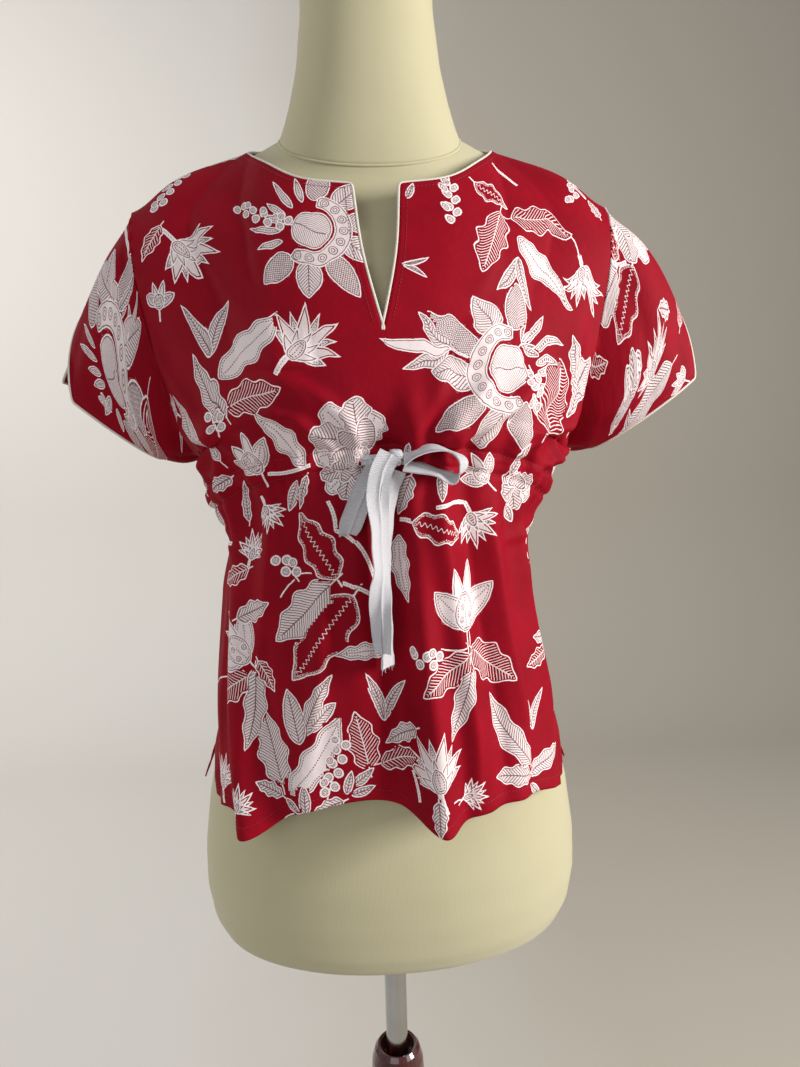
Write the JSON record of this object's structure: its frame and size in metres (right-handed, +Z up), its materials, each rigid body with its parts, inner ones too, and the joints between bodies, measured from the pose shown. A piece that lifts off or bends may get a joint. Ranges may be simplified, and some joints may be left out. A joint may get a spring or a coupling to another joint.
{
  "type": "batik top on limbless dress form",
  "caption": "Short-sleeved printed cotton top with slit neck, drawstring casing and flared hem, worn by a limbless dress form on a stand.",
  "frame": {"origin": "centre of the stand base's flat underside", "axes": "+Z up the pole, -Y out of the front of the top, +X toward the wearer's left"},
  "size_m": [0.5444, 0.35, 1.584],
  "materials": {
    "batik_cotton": "crimson plain-weave cotton with white printed motifs",
    "cream_piping": "cream cotton piping",
    "white_tape": "white twill tape",
    "cream_jersey": "cream knitted cover",
    "chrome": "polished",
    "maroon_lacquer": "glossy dark red lacquer"
  },
  "bodies": {
    "root": {"front_panel": "batik_cotton", "back_panel": "batik_cotton", "sleeve_right": "batik_cotton", "sleeve_left": "batik_cotton", "neck_piping": "cream_piping", "cuff_piping_right": "cream_piping", "cuff_piping_left": "cream_piping", "tie_knot": "white_tape", "tie_exit_right": "white_tape", "tie_exit_left": "white_tape", "tie_loop_right": "white_tape", "tie_loop_left": "white_tape", "tie_tail_front": "white_tape", "tie_tail_back": "white_tape", "form_torso": "cream_jersey", "form_neck": "cream_jersey", "pole": "chrome", "stand_column": "maroon_lacquer", "stand_base": "maroon_lacquer"}
  },
  "joints": []
}
